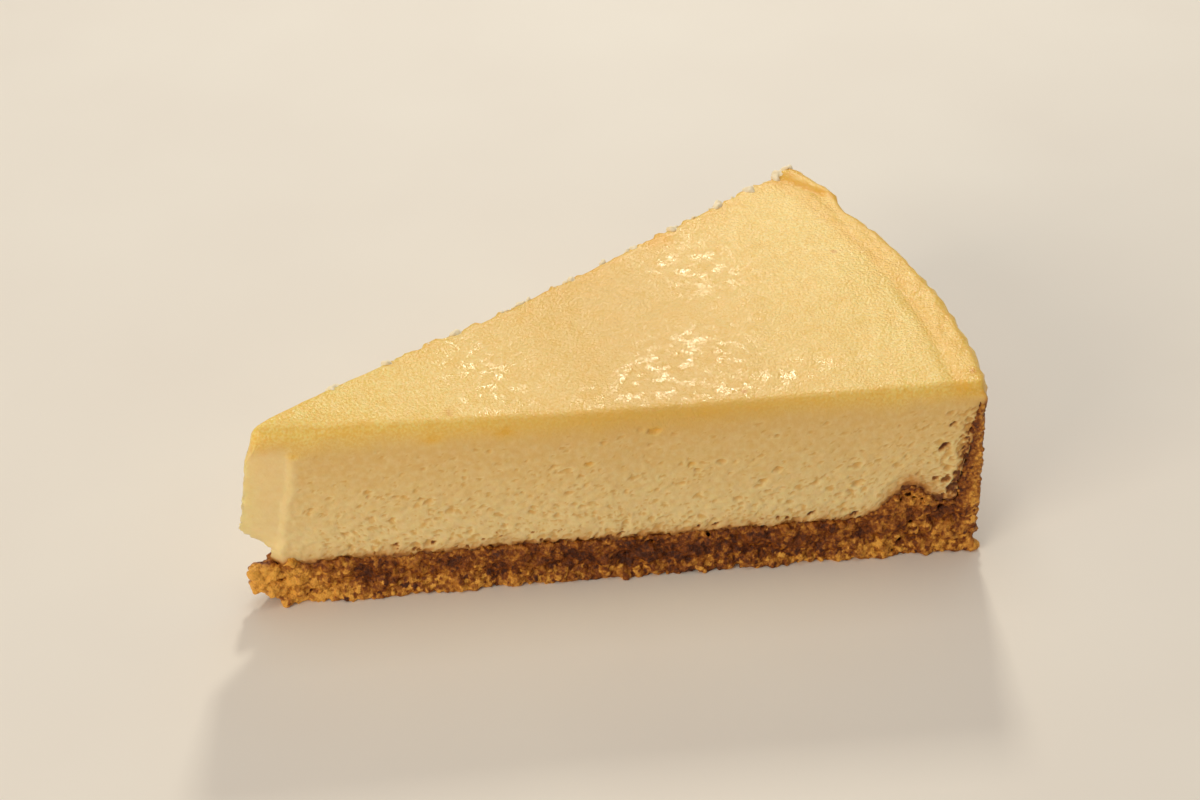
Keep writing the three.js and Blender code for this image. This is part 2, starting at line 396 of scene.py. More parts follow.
def put_coordinates(mesh: Mesh, places: Array) -> None:
    """Moves a mesh's vertices."""
    mesh.vertices.foreach_set("co", np.ascontiguousarray(places, dtype=np.float32).ravel())
    mesh.update()


def put_values(mesh: Mesh, name: str, values: Array) -> None:
    """Stores one value a vertex for the material to read."""
    layer = mesh.attributes.new(name, "FLOAT", "POINT")
    layer.data.foreach_set("value", np.clip(values, 0.0, 1.0).astype(np.float32))


def modified(mesh: Mesh, kind: str, **settings: object) -> Mesh:
    """A mesh after one modifier.

    Args:
        mesh: The mesh to start from. It is removed.
        kind: The modifier's type.
        settings: The modifier's own properties.

    Returns:
        The new mesh.
    """
    holder = bpy.data.objects.new("holder", mesh)
    bpy.context.scene.collection.objects.link(holder)
    step = holder.modifiers.new("step", kind)
    for name, value in settings.items():
        setattr(step, name, value)
    finished = holder.evaluated_get(bpy.context.evaluated_depsgraph_get())
    made = bpy.data.meshes.new_from_object(finished)
    bpy.data.objects.remove(holder)
    bpy.data.meshes.remove(mesh)
    return made


def joined_lumps(places: Array, sizes: Array, rng: np.random.Generator, detail: int) -> Mesh:
    """Many uneven lumps as one mesh, each a ball squashed, turned and dented by its own draws.

    Args:
        places: Each lump's middle.
        sizes: Each lump's radius.
        rng: Source of the draws.
        detail: Subdivisions of the ball.

    Returns:
        The mesh, in the unit of the places.
    """
    ball = bmesh.new()
    bmesh.ops.create_icosphere(ball, subdivisions=detail, radius=1.0)
    unit = np.array([v.co for v in ball.verts])
    mesh = bpy.data.meshes.new("lumps")
    ball.to_mesh(mesh)
    ball.free()
    count = len(places)
    mesh = modified(mesh, "ARRAY", count=count, use_relative_offset=False)
    turns = np.linalg.qr(rng.normal(size=(count, 3, 3)))[0]
    turns *= np.sign(np.linalg.det(turns))[:, None, None]
    squash = rng.uniform(0.6, 1.2, size=(count, 1, 3))
    shifted = unit[None] + rng.uniform(0, 90, size=(count, 1, 3))
    dents = noise(shifted.reshape(-1, 3), 0.62, 71).reshape(count, -1, 1)
    shaped = unit[None] * squash * (1.0 + 0.34 * dents)
    turned = np.einsum("nij,nvj->nvi", turns, shaped)
    put_coordinates(mesh, (places[:, None] + turned * sizes[:, None, None]).reshape(-1, 3))
    return mesh


def linear(code: str) -> tuple[float, float, float, float]:
    """A shader colour from an sRGB hex value such as "#f0d08a"."""
    parts = [int(code[n : n + 2], 16) / 255 for n in (1, 3, 5)]
    return (*[c / 12.92 if c <= 0.04045 else ((c + 0.055) / 1.055) ** 2.4 for c in parts], 1.0)


def node(
    tree: bpy.types.NodeTree, kind: str, links: dict | None = None, **settings: object
) -> bpy.types.Node:
    """Adds a node with its settings and links.

    Args:
        tree: The material's node tree.
        kind: The node's type.
        links: For each input, by name or number, an output to link or a value to set.
        settings: The node's own properties.

    Returns:
        The new node.
    """
    made = tree.nodes.new(kind)
    for name, value in settings.items():
        setattr(made, name, value)
    for key, value in (links or {}).items():
        if isinstance(value, Socket):
            tree.links.new(value, made.inputs[key])
        else:
            made.inputs[key].default_value = value
    return made


@dataclass
class Palette:
    """A new material's node tree, with the few steps that both finishes repeat."""

    name: str

    def __post_init__(self) -> None:
        """Starts the material and its coordinates in millimetres."""
        self.material = bpy.data.materials.new(self.name)
        self.material.use_nodes = True
        self.tree = self.material.node_tree
        self.tree.nodes.clear()
        at = node(self.tree, "ShaderNodeTexCoord").outputs["Object"]
        mapping = node(self.tree, "ShaderNodeMapping", {"Vector": at, "Scale": (1000, 1000, 1000)})
        self.mm = mapping.outputs["Vector"]

    def value(self, name: str) -> Socket:
        """A value stored on the mesh."""
        return node(self.tree, "ShaderNodeAttribute", attribute_name=name).outputs["Fac"]

    def clouds(self, per_mm: float, detail: float = 3.0) -> Socket:
        """Noise with this many changes a millimetre."""
        links = {"Vector": self.mm, "Scale": per_mm, "Detail": detail}
        return node(self.tree, "ShaderNodeTexNoise", links).outputs["Fac"]

    def ramp(
        self, value: object, low: float, high: float, start: float = 0.0, end: float = 1.0
    ) -> Socket:
        """Maps the range from low to high onto start to end, clamped."""
        links = {"Value": value, "From Min": low, "From Max": high, "To Min": start, "To Max": end}
        return node(self.tree, "ShaderNodeMapRange", links).outputs["Result"]

    def weigh(self, first: object, factor: object, second: object, clamp: bool = False) -> Socket:
        """First times factor plus second.

        Args:
            first: An output or a value.
            factor: An output or a value.
            second: An output or a value.
            clamp: Keeps the result between 0 and 1.

        Returns:
            The result.
        """
        links = {0: first, 1: factor, 2: second}
        settings = {"operation": "MULTIPLY_ADD", "use_clamp": clamp}
        return node(self.tree, "ShaderNodeMath", links, **settings).outputs[0]

    def blend(self, share: object, low: object, high: object) -> Socket:
        """A colour between two, by a share."""
        links = {0: share, 6: low, 7: high}
        return node(self.tree, "ShaderNodeMix", links, data_type="RGBA").outputs[2]

    def bump(self, height: object, strength: float, depth: float) -> Socket:
        """A normal from a height, its depth in metres."""
        links = {"Height": height, "Strength": strength, "Distance": depth}
        return node(self.tree, "ShaderNodeBump", links).outputs["Normal"]

    def finish(self, **sockets: object) -> bpy.types.Material:
        """Ends the tree in a surface shader.

        Args:
            sockets: The shader's inputs by name, underscores standing for spaces.

        Returns:
            The finished material.
        """
        links = {name.replace("_", " "): value for name, value in sockets.items()}
        shader = node(self.tree, "ShaderNodeBsdfPrincipled", links)
        node(self.tree, "ShaderNodeOutputMaterial", {"Surface": shader.outputs["BSDF"]})
        return self.material


@dataclass(frozen=True)
class BakedCurd:
    """Baked cream cheese batter: set smooth by slow heat, its top dried to a satin skin, cut cold.

    The eye sees a pale opaque body that light still enters for a few millimetres, a golden top with
    fine creases, patches of risen butterfat that glint, and small bubbles whose deeper yellow
    inside is painted shade.
    """

    skin: str = "#f7cf66"
    skin_pale: str = "#fee28c"
    # The colour of a broad darker band across the middle of the top.
    skin_darker_middle: str = "#e7bb5c"
    skin_deep: str = "#efb73c"
    curd: str = "#eac47b"
    curd_pale: str = "#f4dca0"
    # pore: painted shade, the deeper yellow inside the opened bubbles.
    pore: str = "#deab4c"
    tint: str = "#c88a40"
    stain: str = "#6b350c"
    speck: str = "#d98f30"
    # torn: the torn curd's own paler colour, also painted highlight on pore lips and the crease
    # ridge.
    torn: str = "#fde8ae"
    inside_light: float = 0.4
    depth_of_light: float = 0.002
    dry_roughness: float = 0.33
    wet_roughness: float = 0.17
    cut_roughness: float = 0.6
    wet_flattening: float = 0.32
    crease_depth: float = 0.00016

    def build(self, name: str) -> bpy.types.Material:
        """The node material, with its patterns in millimetres of the real surface.

        Args:
            name: The material's name.

        Returns:
            The material.
        """
        p = Palette(name)
        curds = p.clouds(0.9)
        low = node(p.tree, "ShaderNodeSeparateXYZ", {"Vector": p.mm}).outputs["Z"]
        paler = p.weigh(p.ramp(low, 29.0, 12.0), 0.8, p.weigh(curds, 1.6, -0.7))
        body = p.blend(paler, linear(self.curd), linear(self.curd_pale))
        # Painted shade: the insides of the opened bubbles are a deeper yellow.
        body = p.blend(p.value("pore"), body, linear(self.pore))
        # Paler where torn, and painted highlight on the pores' raised lips and the crease ridge.
        body = p.blend(p.value("torn"), body, linear(self.torn))

        # The skin: pale specks under half a millimetre, partly its own granules and partly painted
        # highlight for its fine sparkle, and browner mottling a few millimetres wide.
        tinge = p.weigh(p.ramp(p.clouds(0.32, 4.0), 0.42, 0.7), 0.3, p.value("deep"), clamp=True)
        granules_and_sparkle = p.ramp(p.clouds(2.3, 1.0), 0.4, 0.64)
        top = p.blend(granules_and_sparkle, linear(self.skin), linear(self.skin_pale))
        # A broad darker band across the middle of the top.
        top = p.blend(p.weigh(p.value("darker_middle"), 0.85, 0.0), top, linear(self.skin_darker_middle))
        top = p.blend(tinge, top, linear(self.skin_deep))
        cells = node(p.tree, "ShaderNodeTexVoronoi", {"Vector": p.mm, "Scale": 0.06})
        specks = p.ramp(cells.outputs["Distance"], 0.05, 0.02, 0.0, 0.5)
        top = p.blend(specks, top, linear(self.speck))
        colour = p.blend(p.value("skin"), body, top)
        uneven = p.ramp(curds, 0.3, 0.65, 0.7, 1.1)
        stained = p.weigh(p.value("soak"), uneven, 0.0, clamp=True)
        soaked = p.blend(p.ramp(stained, 0.45, 0.95), linear(self.tint), linear(self.stain))
        colour = p.blend(p.ramp(stained, 0.0, 0.55), colour, soaked)

        # The skin's creases are about half a millimetre apart. Patches of butterfat fill them a
        # little and shine, and so carry the glints.
        relief = p.weigh(p.clouds(4.5, 2.0), 0.3, p.clouds(2.2, 2.0))
        ragged = p.ramp(p.clouds(0.5, 5.0), 0.48, 0.58)
        patch = p.weigh(ragged, p.value("wet"), 0.0, clamp=True)
        relief = p.weigh(relief, p.weigh(patch, -self.wet_flattening, 1.0), 0.0)
        on_skin = p.ramp(patch, 0.0, 1.0, self.dry_roughness, self.wet_roughness)
        shares = {0: p.value("skin"), 2: self.cut_roughness, 3: on_skin}
        rough = node(p.tree, "ShaderNodeMix", shares, data_type="FLOAT").outputs[0]
        steepness = p.ramp(p.value("skin"), 0.0, 1.0, 0.3, 1.0)
        return p.finish(
            Base_Color=colour,
            Roughness=rough,
            IOR=1.45,
            Subsurface_Weight=self.inside_light,
            Subsurface_Radius=(1.0, 0.62, 0.28),
            Subsurface_Scale=self.depth_of_light,
            Normal=p.bump(relief, steepness, self.crease_depth),
        )


@dataclass(frozen=True)
class ButteredCrumb:
    """Digestive biscuit crumb bound with butter, pressed into the tin and baked.

    The eye sees grains of about a millimetre, each its own brown, dark where butter has soaked in,
    with small greasy glints. Painted shade darkens the deep gaps and a painted highlight makes a
    grain golden where it stands out.
    """

    dark: str = "#4a1e04"
    brown: str = "#864406"
    golden: str = "#c17d2a"
    light: str = "#f6b54c"
    grit_depth: float = 0.0003

    def build(self) -> bpy.types.Material:
        """The node material: each grain's tone, painted shade and highlight included, comes from
        the mesh, finer variation from noise.

        Returns:
            The material.
        """
        p = Palette("buttered_crumb")
        share = p.ramp(p.weigh(p.clouds(1.9), 1.1, p.value("tone")), 0.55, 1.55)
        ramp = node(p.tree, "ShaderNodeValToRGB", {"Fac": share})
        stops = ((0.0, self.dark), (0.34, self.brown), (0.68, self.golden), (1.0, self.light))
        while len(ramp.color_ramp.elements) < len(stops):
            ramp.color_ramp.elements.new(0.5)
        for element, (place, code) in zip(ramp.color_ramp.elements, stops):
            element.position = place
            element.color = linear(code)
        return p.finish(
            Base_Color=ramp.outputs["Color"],
            Roughness=0.42,
            IOR=1.47,
            Specular_IOR_Level=0.35,
            Subsurface_Weight=0.06,
            Subsurface_Radius=(1.0, 0.5, 0.2),
            Subsurface_Scale=0.0008,
            Normal=p.bump(p.clouds(3.6, 2.0), 0.9, self.grit_depth),
        )


@dataclass
class Piece:
    """One finished mesh of the slice and how it stands in the frame."""

    name: str
    stands_for: str
    material: bpy.types.Material

    def place(self, mesh: Mesh, point: Vector) -> bpy.types.Object:
        """Moves a mesh from the wedge's millimetres into the frame and gives it part and finish.

        Args:
            mesh: The shape, in millimetres from the wedge's point.
            point: The wedge's point in the frame, in metres.

        Returns:
            The piece's object, at the origin.
        """
        places = coordinates(mesh) * MM + np.array(point)
        places[:, 2] = np.maximum(places[:, 2], 0.0)
        put_coordinates(mesh, places)
        mesh.name = self.name
        mesh.materials.clear()
        mesh.materials.append(self.material)
        mesh.polygons.foreach_set("use_smooth", np.ones(len(mesh.polygons), dtype=bool))
        made = bpy.data.objects.new(self.name, mesh)
        bpy.context.scene.collection.objects.link(made)
        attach(made, "root")
        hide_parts(self.stands_for)
        triangles = sum(len(p.vertices) - 2 for p in mesh.polygons)
        LOG.info("%s: %d triangles", self.name, triangles)
        return made


@dataclass
class Pores:
    """Small bubbles opened by the cut: where they lie on a cut face, how large, how tilted."""

    count: int = 2100
    dark_count: int = 90
    seed: int = 11
    lean: float = math.radians(14)
    size: float = 0.36
    size_spread: float = 0.4
    smallest: float = 0.2
    largest: float = 1.0
    highest: float = 31.5
    large: tuple[tuple[float, float, float], ...] = (
        (8.4, 29.5, 0.5),
        (27.9, 18.9, 0.9),
        (32.6, 16.0, 1.0),
        (19.6, 15.6, 0.75),
        (24.1, 19.9, 0.7),
        (66.0, 29.3, 1.15),
        (71.9, 22.0, 0.8),
        (55.2, 23.7, 0.8),
        (19.8, 20.3, 0.55),
        (66.3, 17.1, 0.5),
    )
    # Dark pores by the crust: brown inside, partly butter stain and partly painted shade.
    dark: tuple[tuple[float, float, float], ...] = (
        (60.3, 8.6, 0.7),
        (75.9, 8.9, 0.6),
        (91.9, 9.7, 0.55),
        (99.1, 9.0, 0.85),
        (117.2, 23.0, 0.7),
        (116.4, 20.8, 0.75),
        (116.0, 15.9, 0.9),
        (115.2, 13.2, 1.3),
        (114.7, 26.3, 0.8),
        (113.3, 21.7, 1.3),
    )

    def draws(self, wedge: Wedge, side: Side) -> Array:
        """All the pores of a cut.

        Args:
            wedge: The slice's sizes.
            side: Which cut.

        Returns:
            For each pore a row of distance along the cut, height, long radius, short radius,
            tilt, depth and brownness.
        """
        rng = np.random.default_rng(self.seed + side.value)
        rows = [self._bubbles(wedge, side, rng), self._browned(wedge, side, rng)]
        if side is Side.FRONT:
            pale = [(a, z, r, r * 0.55, self.lean, r * 0.45, 0.0) for a, z, r in self.large]
            steep = 2.2 * self.lean
            brown = [(a, z, r, r * 0.45, steep, r * 0.7, 1.0) for a, z, r in self.dark]
            rows += [np.array(pale), np.array(brown)]
        return np.vstack(rows)

    def _bubbles(self, wedge: Wedge, side: Side, rng: np.random.Generator) -> Array:
        """The pale bubbles, more and larger towards the crust.

        Args:
            wedge: The slice's sizes.
            side: Which cut.
            rng: Source of the draws.

        Returns:
            Rows as in draws.
        """
        along = rng.uniform(5.5, wedge.radius - 1.5, self.count * 8)
        y = side.value * wedge.half_width(along)
        low = wedge.base_top(along, y)
        up = mix(low, self.highest, rng.uniform(0, 1, along.size) ** 1.35)
        to_base = up - low
        to_wall = wedge.radius - wedge.wall_thickness(up, y) - along
        share = (up - 7.0) / 25.0
        odds = 0.12 + 0.75 * (1 - share) ** 1.2
        odds = odds + 1.0 * bell(to_wall, 8.0) + 0.5 * bell(to_base, 3.0)
        odds = odds * rise(along, 6, 14) * rise(self.highest - up, 0, 3.0) * (to_wall > 0.3)
        keep = np.flatnonzero(rng.uniform(0, 1.6, along.size) < odds)[: self.count]
        along, up, to_base, to_wall = along[keep], up[keep], to_base[keep], to_wall[keep]
        near = np.clip(bell(to_wall, 7.0) + 0.6 * bell(to_base, 2.5), 0, 1)
        size = rng.lognormal(math.log(self.size), self.size_spread, keep.size)
        long = np.clip(size * (1 + 0.15 * bell(to_wall, 6.0)), self.smallest, self.largest)
        short = long * rng.uniform(0.35, 0.7, keep.size)
        tilt = 12 + 26 * (along / wedge.radius) ** 3 + rng.normal(0, 12, keep.size)
        depth = short * rng.uniform(0.3, 0.8, keep.size) * (1 + 0.4 * near)
        # Bubbles by the crust are browner inside: partly butter stain, partly painted shade.
        brown = 0.35 * bell(to_wall, 2.5) + 0.3 * bell(to_base, 1.0)
        return np.stack([along, up, long, short, np.radians(tilt), depth, brown], axis=1)

    def _browned(self, wedge: Wedge, side: Side, rng: np.random.Generator) -> Array:
        """The small holes just above the base and beside the wall, brown inside: stain and painted
        shade.

        Args:
            wedge: The slice's sizes.
            side: Which cut.
            rng: Source of the draws.

        Returns:
            Rows as in draws.
        """
        n = self.dark_count
        at_wall = rng.uniform(0, 1, n) < 0.3
        along = rng.uniform(16, wedge.radius - 6, n)
        seam = wedge.base_top(along, side.value * wedge.half_width(along))
        up = seam + rng.gamma(2.0, 0.45, n)
        climb = rng.uniform(11.5, 28.0, n)
        corner = side.value * wedge.half_width(np.full(n, wedge.radius))
        beside = wedge.radius - wedge.wall_thickness(climb, corner) - rng.gamma(1.6, 0.7, n)
        along = np.where(at_wall, beside, along)
        up = np.where(at_wall, climb, up)
        long = rng.uniform(0.25, 0.6, n) * np.where(at_wall, 1.4, 1.0)
        short = long * rng.uniform(0.4, 0.75, n)
        tilt = np.radians(np.where(at_wall, 38, 10) + rng.normal(0, 16, n))
        # Brown inside the holes: partly butter stain, partly painted shade.
        brown = rng.uniform(0.5, 1.0, n)
        return np.stack([along, up, long, short, tilt, short * 1.2, brown], axis=1)

    def dents(self, rows: Array, along: Array, up: Array) -> tuple[Array, ...]:
        """How deep each place of a cut face lies in a pore.

        Args:
            rows: The pores.
            along: Each place's distance along the cut.
            up: Each place's height.

        Returns:
            The depth in millimetres, how far inside a pore the place is, how near its raised
            edge, and how brown it is, the last three from 0 to 1.
        """
        depth, inside, edge, brown = (np.zeros(along.size) for _ in range(4))
        flat = stacked(along, up)
        along = along + 0.3 * noise(flat, 0.7, 51) + 0.12 * noise(flat, 0.35, 52)
        up = up + 0.2 * noise(flat, 0.7, 53) + 0.1 * noise(flat, 0.35, 54)
        order = np.argsort(along)
        ordered = along[order]
        for a, z, long, short, tilt, deep, browned in rows:
            first, last = np.searchsorted(ordered, (a - 1.7 * long, a + 1.7 * long))
            near = order[first:last]
            da, dz = along[near] - a, up[near] - z
            far = np.abs(dz) < 1.7 * long
            near, da, dz = near[far], da[far], dz[far]
            p = (da * math.cos(tilt) + dz * math.sin(tilt)) / long
            q = (dz * math.cos(tilt) - da * math.sin(tilt)) / short
            away = np.sqrt(p * p + q * q)
            bowl = np.clip(1 - away * away, 0, 1)
            depth[near] = np.maximum(depth[near], deep * np.sqrt(bowl))
            inside[near] = np.maximum(inside[near], bowl)
            edge[near] = np.maximum(edge[near], bell(away - 1.2, 0.25) * min(1.0, long))
            brown[near] = np.maximum(brown[near], browned * np.clip(2.2 * bowl, 0, 1))
        return depth, inside, edge * (1 - rise(inside, 0, 0.3)), brown


def spread(fine: tuple[float, ...], length: float, count: int) -> Array:
    """Stations along a length: close together at both ends, even between.

    Args:
        fine: Distances from an end of its close stations, from 0 up.
        length: The whole length.
        count: How many even steps lie between.

    Returns:
        The stations from 0 to the length.
    """
    near = np.array(fine)
    middle = np.linspace(near[-1], length - near[-1], count + 1)[1:-1]
    return np.concatenate([near, middle, (length - near)[::-1]])


@dataclass(frozen=True)
class CurdPlaces:
    """What the filling's finish goes by, one value for each vertex, in millimetres or degrees."""

    x: Array
    y: Array
    z: Array
    r: Array
    angle: Array
    arc: Array
    bottom: Array
    from_cut: Array
    front: Array
    brown: Array


@dataclass
class Filling:
    """The set filling: a swept block bent to the wedge, its cut faces opened into pores."""

    wedge: Wedge
    pores: Pores
    edge_lines: tuple[float, ...] = (0, 0.14, 0.36, 0.66, 1.05, 1.5, 2.2, 3.2)
    end_lines: tuple[float, ...] = (0, 0.25, 0.6, 1.0, 1.5, 2.1, 2.9)
    even_steps: int = 138
    across_steps: int = 20
    rows: int = 30
    front_cuts: int = 2
    other_cuts: int = 1
    step_back: float = 0.28
    tip_back: float = 0.5
    shear_foot: float = 4.8
    shear_head: float = 8.2
    lip_height: float = 0.035
    nub_length: float = 0.9
    rim_roughness: float = 0.45
    # Where the broad darker band across the middle of the top lies, and how wide it is.
    darker_middle_at: float = 68.0
    darker_middle_reach: float = 32.0
    specks: tuple[tuple[float, float, float], ...] = ((83.6, 25.0, 2.0), (32.8, -7.4, 0.55))
    scorch: tuple[float, float] = (33.6, -7.4)
    wet: tuple[tuple[float, float, float, float], ...] = (
        (42.0, -2.0, 6.0, 13.0),
        (62.0, -14.0, 7.0, 5.0),
        (75.0, -9.0, 10.0, 8.0),
        (83.0, -20.0, 14.0, 3.0),
        (87.0, 14.0, 7.0, 9.0),
    )
    smears: tuple[tuple[float, float, float], ...] = (
        (66.0, 29.3, 0.8),
        (55.2, 23.7, 0.5),
        (71.9, 22.0, 0.4),
        (8.4, 29.5, 0.5),
        (30.5, 31.0, 0.8),
        (42.0, 31.4, 0.8),
    )

    def build(self) -> Mesh:
        """Builds the filling.

        Returns:
            Its mesh in millimetres, with the values its finish reads.
        """
        u_lines = spread(self.end_lines, self.wedge.radius, self.even_steps)
        columns = len(u_lines) - 1
        steps = 2 * (len(self.edge_lines) - 1) + self.across_steps
        bm = swept_block(columns, self.rows, steps)
        inner = range(len(self.edge_lines) - 1, steps - len(self.edge_lines) + 1)
        front = [f for f in bm.faces if f.normal.y < -0.5 or f.normal.x < -0.5]
        back = [f for f in bm.faces if f.normal.y > 0.5]
        upper = [f for f in bm.faces if f.normal.z > 0.5]
        top = [f for f in upper if int(f.calc_center_median().y) in inner]
        rim = [f for f in bm.faces if f.normal.x > 0.5]
        refine(bm, front, self.front_cuts)
        refine(bm, back, self.other_cuts)
        refine(bm, top, self.other_cuts)
        refine(bm, [f for f in rim if f.is_valid], self.other_cuts)
        mesh = bpy.data.meshes.new("filling")
        bm.to_mesh(mesh)
        bm.free()
        self._shape(mesh, coordinates(mesh), u_lines, steps)
        return mesh

    def _sideways(self, line: Array, steps: int, half: Array) -> Array:
        """Places the grid lines across the slice: the outer ones keep their inset from the cuts.

        Args:
            line: Number of the grid line of each place.
            steps: Number of grid steps across.
            half: Half the slice's width at each place.

        Returns:
            The distance of each place from the bisector.
        """
        fine = np.array(self.edge_lines)
        last = len(fine) - 1
        place = np.minimum(line, steps - line)
        inset = np.interp(place, np.arange(last + 1), fine)
        inset = np.minimum(inset, half * 0.8 * np.minimum(place, last) / last)
        edge = np.minimum(fine[-1], half * 0.8)
        inner = (half - edge) * (1 - np.clip((place - last) / (steps / 2 - last), 0, 1))
        return np.where(line * 2 <= steps, -1, 1) * np.where(place <= last, half - inset, inner)

    def _shape(self, mesh: Mesh, index: Array, u_lines: Array, steps: int) -> None:
        """Bends the block to the wedge, opens its pores and writes the values for the finish.

        Args:
            mesh: The block, still in grid numbers. It is changed.
            index: Its vertices' grid numbers.
            u_lines: Distances of the grid columns from the wedge's point.
            steps: Number of grid steps across.
        """
        w = self.wedge
        u, s, k = index.T
        level = k / self.rows
        along = np.interp(u, np.arange(len(u_lines)), u_lines)
        plain = mix(w.base_thickness, w.height - 0.4 * w.rim_rounding, level)
        widest = np.full(len(s), w.half_width(w.radius))
        turn = np.arcsin(self._sideways(s, steps, widest) / w.radius)
        arc = turn * w.radius
        angle = np.degrees(turn)
        start = w.point_at(plain) + self._ragged(turn, plain)
        r = mix(start, w.rim_at(plain, arc, angle), along / w.radius)
        half = np.maximum(w.half_width(r), w.point_thickness / 2)
        y = self._sideways(s, steps, half)
        from_cut = half - np.abs(y)
        x = np.where(r > 3, np.sqrt(np.maximum(r**2 - y**2, 0)), r - y**2 / 6)
        front_drop = drop_at(from_cut, w.cut_rounding)
        drop = np.where(y > 0, drop_at(from_cut, w.torn_rounding), front_drop)
        drop += drop_at(w.radius - along, w.rim_rounding)
        drop += drop_at(along, w.cut_rounding)
        top = w.filling_top(r, y, angle) - drop
        bottom = w.base_top(r, y) + w.fit_gap
        z = mix(bottom, top, level)

        # The sheared face beside the point: set back a step, and turned towards the back cut.
        front, back = s < 1e-6, s > steps - 1e-6
        crease = mix(self.shear_foot, self.shear_head, rise(z, 10, 30))
        crease = crease + 0.3 * noise(stacked(z, 0.0), 2.5, 25)
        sheared = (1 - rise(r, crease - 0.8, crease + 0.4)) * (1 - rise(z, 29, 32))
        share = np.clip((crease - r) / np.maximum(crease - start, 1.0), 0, 1)
        facet = half - mix(w.half_width(crease), -self.tip_back, share)
        facet = np.where(r < crease, facet, 0) * (1 - rise(z, 28, 31.5))
        back_off = np.clip(self.step_back * sheared * (1 - share) + facet, 0, 1.7 * half)
        y = y + back_off * np.clip((half - y) / (2 * half), 0, 1)
        # The crease ridge stands out a little and is painted paler as a highlight.
        ridge = bell(r - crease - 0.5, 0.8) * (1 - rise(z, 27, 31)) * front

        # Nubs hang over the back cut's top edge, and the rim's edge is rough.
        hang = noise(stacked(along, 0.0), 1.7, 26) + 0.5 * noise(stacked(along, 0.0), 0.8, 27)
        nubs = np.clip(hang, 0, 1) * rise(z, 30.8, 33.0) * bell(from_cut, 1.0)
        nubs = nubs * (y > 0) * rise(along, 8, 20)
        y = y + self.nub_length * nubs
        bumps = rise(plain, 29, 32) * bell(w.radius - along, 1.0) * noise(stacked(arc, z), 1.1, 28)
        x = x + self.rim_roughness * bumps

        pore, painted_lip_highlight, brown = (np.zeros(len(x)) for _ in range(3))
        for side, face in ((Side.FRONT, front), (Side.BACK, back)):
            rows = self.pores.draws(w, side)
            depth, inside, edge, browned = self.pores.dents(rows, r[face], z[face])
            calm = rise(31.8 - z[face], -1, 4) * rise(r[face] - crease[face], -0.5, 1.5)
            curd = self._curd(r[face], z[face], bottom[face], calm)
            inward = (depth - self.lip_height * edge) * calm + curd
            a = side.value * w.opening / 2
            x[face] += side.value * inward * math.sin(a)
            y[face] -= side.value * inward * math.cos(a)
            z[face] += 0.2 * depth * calm
            pore[face], painted_lip_highlight[face], brown[face] = inside * calm, edge * calm, browned * calm
        y = np.where(front, y - 0.1 * ridge, y)
        put_coordinates(mesh, stacked(x, y, z))
        # Torn face and nubs in their own paler colour; painted highlight on pore lips and the
        # crease ridge.
        torn = 0.5 * sheared + 0.45 * ridge + 0.5 * painted_lip_highlight + 1.2 * nubs
        # pore: painted shade, how far inside a bubble each place lies.
        put_values(mesh, "pore", 0.75 * pore)
        put_values(mesh, "torn", torn)
        self._dress(mesh, CurdPlaces(x, y, z, r, angle, arc, bottom, from_cut, front, brown))

    def _dress(self, mesh: Mesh, at: CurdPlaces) -> None:
        """Writes where the browned skin lies and how it is coloured and wetted, and the stains.

        Args:
            mesh: The filling's mesh. It is changed.
            at: Its places.
        """
        w = self.wedge
        r, z, angle, front = at.r, at.z, at.angle, at.front
        flat = stacked(r, at.y, z)
        below = w.filling_top(r, at.y, angle) - z
        smeared = (1 - rise(below * (1 + 0.3 * noise(flat, 3.0, 41)), 0.6, 6.0)) ** 1.3
        at_rim = rise(r, w.radius - 5, w.radius - 3) * rise(z, 30.5, 32.0)
        dragged = sum(bell(np.hypot((r - a) / 1.8, z - c), size) for a, c, size in self.smears)
        dragged = dragged * front
        put_values(mesh, "skin", np.maximum(smeared, at_rim) + 0.7 * dragged)

        # Butter soaks into the filling beside the crust, most of all where the lump meets it.
        to_wall = w.rim_radius(angle) - w.wall_thickness(z, at.arc) - r
        low = np.maximum(z - at.bottom, 0)
        wavy = 1 + 0.5 * noise(flat, 2.0, 45)
        near = 0.6 * bell(low, 0.8 * wavy) + 0.3 * bell(low, 1.9 * wavy)
        near = near + 0.6 * bell(np.maximum(to_wall, 0), 0.9 * wavy)
        mound = bell(r - w.mound_at, w.mound_reach * 0.8) * bell(z - at.bottom, 2.7) * front
        rind = rise(r - w.rim_radius(angle), -1.0, -0.3) * (1 - rise(z, 31.0, 32.2))
        near = near * (1 - rise(z, 29, 31.5)) * (1 - 0.6 * mound)
        scorch_at, scorch_y = self.scorch
        scorch = 0.5 * bell(np.hypot((r - scorch_at) * 1.6, at.y - scorch_y), 0.5)
        # at.brown: the pores' brown insides, partly butter stain and partly painted shade.
        soak = near + 0.65 * mound + at.brown + 0.5 * rind + scorch * (z > w.wall_top)
        put_values(mesh, "soak", soak)

        ring = bell(r - (w.radius - w.groove_inset), 1.2) * (1 - 0.4 * rise(angle, 9, 12))
        corner = 0.5 * rise(angle, 9, 13) * bell(r - w.crease(angle), 0.7)
        rim_gold = 0.4 * rise(r, w.radius - 6, w.radius - 4)
        far_gold = 0.25 * (at.y > 0) * rise(r, 40, 75)
        edge_gold = 0.15 * rise(noise(flat, 6.0, 43), 0.1, 0.7) + far_gold
        edge_gold = edge_gold * bell(at.from_cut, 3.5)
        spots = sum(bell(np.hypot(at.x - a, at.y - b), size) for a, b, size in self.specks)
        deep = 0.35 * ring + corner + rim_gold + edge_gold + 1.4 * spots + 0.5 * dragged
        put_values(mesh, "deep", deep)
